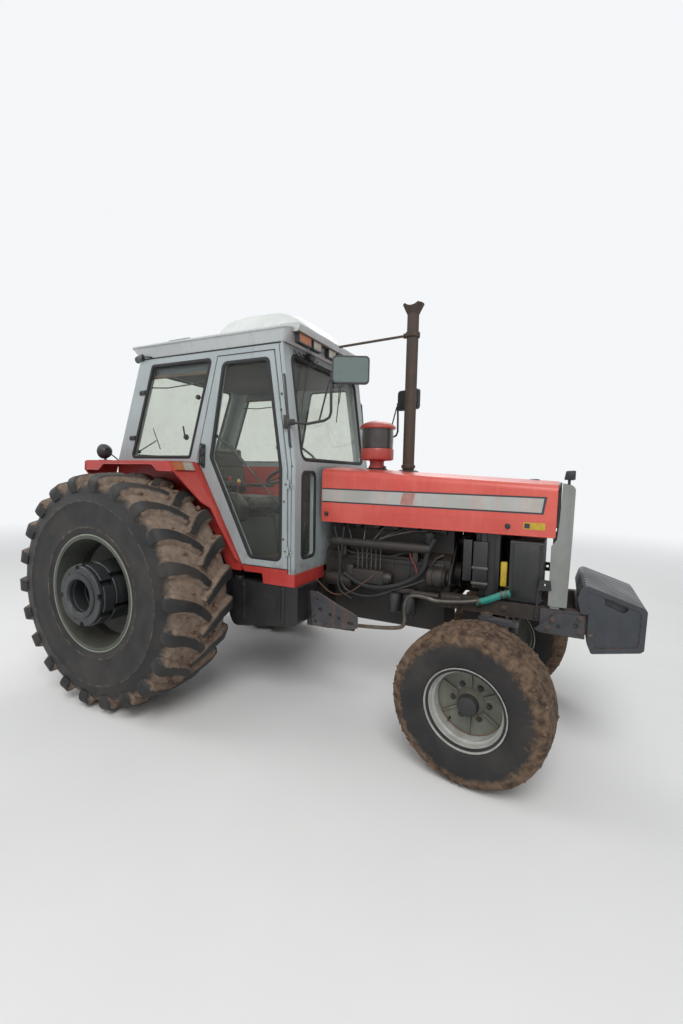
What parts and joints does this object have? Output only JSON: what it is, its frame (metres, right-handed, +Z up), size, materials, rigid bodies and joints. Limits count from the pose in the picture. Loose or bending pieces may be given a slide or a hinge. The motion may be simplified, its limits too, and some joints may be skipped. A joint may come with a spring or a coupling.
{
  "type": "farm tractor",
  "caption": "Two-wheel-drive farm tractor with an enclosed cab, steered front axle, lifting bonnet sides, front weight stack and rear three-point linkage.",
  "frame": {"origin": "on the ground under the middle of the whole tractor's bounding box", "axes": "+X forward along the tractor, +Y to the driver's left, +Z up"},
  "size_m": [4.412, 2.624, 2.913],
  "materials": {
    "tyre": "dusty matt",
    "rim": "worn satin paint",
    "red": "faded gloss paint",
    "grey": "faded satin paint",
    "pale": "weathered satin paint",
    "dark": "worn dark paint",
    "cast": "greasy casting",
    "steel": "bare machined steel",
    "black": "matt black",
    "glass": "clear cab glass",
    "lens": "clear ribbed lens",
    "amber": "amber lens",
    "seat": "worn dark cloth",
    "soot": "sooty black"
  },
  "bodies": {
    "chassis": {"battery_box": "black", "cab_floor": "dark", "cab_front_frame": "grey", "cab_glass": "glass", "cab_rear_frame": "grey", "cab_roof": "pale", "cab_side_frame_left": "grey", "cab_side_frame_right": "grey", "cab_sill": "red", "drawbar": "steel", "engine_block": "cast", "engine_pipes": "steel", "exhaust_stack": "soot", "fender_left": "red", "fender_right": "red", "front_axle_beam": "cast", "front_frame": "cast", "hood_spine": "red", "lamps_amber": "amber", "lamps_clear": "lens", "mirrors": "black", "nose_grille": "black", "nose_surround": "grey", "pre_cleaner": "dark", "pto_shaft": "steel", "radiator": "dark", "roof_dome": "pale", "seat": "seat", "side_tanks": "dark", "steering_column": "black", "suitcase_weights": "cast", "top_link_bracket": "cast", "transaxle_case": "cast", "weight_carrier": "cast"},
    "rear_wheel_right": {"rear_rim_right": "rim", "rear_tyre_right": "tyre", "wheel_weights_right": "cast"},
    "rear_wheel_left": {"rear_rim_left": "rim", "rear_tyre_left": "tyre", "wheel_weights_left": "cast"},
    "knuckle_right": {"knuckle_right": "cast"},
    "knuckle_left": {"knuckle_left": "cast"},
    "tie_rod": {"tie_rod": "steel"},
    "front_wheel_right": {"front_rim_right": "rim", "front_tyre_right": "tyre"},
    "front_wheel_left": {"front_rim_left": "rim", "front_tyre_left": "tyre"},
    "steering_wheel": {"steering_wheel": "black"},
    "door_right": {"door_right": "grey", "door_glass_right": "glass"},
    "door_left": {"door_left": "grey", "door_glass_left": "glass"},
    "hood_panel_right": {"hood_panel_right": "red"},
    "hood_panel_left": {"hood_panel_left": "red"},
    "lift_arms": {"lift_arms": "cast"},
    "lift_rods": {"lift_rods": "steel"},
    "lower_links": {"lower_links": "steel"}
  },
  "joints": [
    {"name": "rear_wheel_right_spin", "type": "hinge", "parent": "chassis", "child": "rear_wheel_right", "pos_m": [-1.126, -0.963, 0.837], "axis": [0, 1, 0], "continuous": true},
    {"name": "rear_wheel_left_spin", "type": "hinge", "parent": "chassis", "child": "rear_wheel_left", "pos_m": [-1.126, 0.963, 0.837], "axis": [0, 1, 0], "continuous": true},
    {"name": "steer_right", "type": "hinge", "parent": "chassis", "child": "knuckle_right", "pos_m": [1.387, -0.452, 0.7], "axis": [0, 0, 1], "range_deg": [-31, 45]},
    {"name": "steer_left", "type": "hinge", "parent": "chassis", "child": "knuckle_left", "pos_m": [1.387, 0.452, 0.7], "axis": [0, 0, 1], "range_deg": [-31, 45]},
    {"name": "tie_rod_pivot", "type": "hinge", "parent": "knuckle_left", "child": "tie_rod", "pos_m": [1.54581, 0.4325, 0.818], "axis": [0, 0, 1], "range_deg": [-45, 31]},
    {"name": "front_wheel_right_spin", "type": "hinge", "parent": "knuckle_right", "child": "front_wheel_right", "pos_m": [1.35921, -0.6783, 0.441], "axis": [0.1219, 0.9925, 0], "continuous": true},
    {"name": "front_wheel_left_spin", "type": "hinge", "parent": "knuckle_left", "child": "front_wheel_left", "pos_m": [1.41479, 0.6783, 0.441], "axis": [0.1219, 0.9925, 0], "continuous": true},
    {"name": "steering_wheel_turn", "type": "hinge", "parent": "chassis", "child": "steering_wheel", "pos_m": [-0.306, 0, 1.7], "axis": [-0.4695, 0, 0.8829], "range_deg": [-465, 675]},
    {"name": "door_right_swing", "type": "hinge", "parent": "chassis", "child": "door_right", "pos_m": [0.09, -0.632, 1.6], "axis": [0, 0, 1], "range_deg": [0, 75]},
    {"name": "door_left_swing", "type": "hinge", "parent": "chassis", "child": "door_left", "pos_m": [0.09, 0.632, 1.6], "axis": [0, 0, -1], "range_deg": [0, 75]},
    {"name": "hood_panel_right_lift", "type": "hinge", "parent": "chassis", "child": "hood_panel_right", "pos_m": [0.18, -0.141, 1.7476], "axis": [-0.9989, 0, 0.0476], "range_deg": [0, 75]},
    {"name": "hood_panel_left_lift", "type": "hinge", "parent": "chassis", "child": "hood_panel_left", "pos_m": [0.18, 0.141, 1.7476], "axis": [0.9989, 0, -0.0476], "range_deg": [0, 75]},
    {"name": "lift_arms_raise", "type": "hinge", "parent": "chassis", "child": "lift_arms", "pos_m": [-1.316, 0, 1.13], "axis": [0, 1, 0], "range_deg": [-30, 14]},
    {"name": "lower_links_raise", "type": "hinge", "parent": "chassis", "child": "lower_links", "pos_m": [-1.276, 0, 0.52], "axis": [0, 1, 0], "range_deg": [-27, 12.5]},
    {"name": "lift_rods_swing", "type": "hinge", "parent": "lift_arms", "child": "lift_rods", "pos_m": [-1.616, 0, 1.13], "axis": [0, 1, 0], "range_deg": [-14, 30]}
  ],
  "couplings": [
    {"joint": "steer_left", "follows": "steer_right", "ratio": 1},
    {"joint": "tie_rod_pivot", "follows": "steer_right", "ratio": -1},
    {"joint": "steering_wheel_turn", "follows": "steer_right", "ratio": 15},
    {"joint": "lower_links_raise", "follows": "lift_arms_raise", "ratio": 0.88},
    {"joint": "lift_rods_swing", "follows": "lift_arms_raise", "ratio": -1}
  ]
}
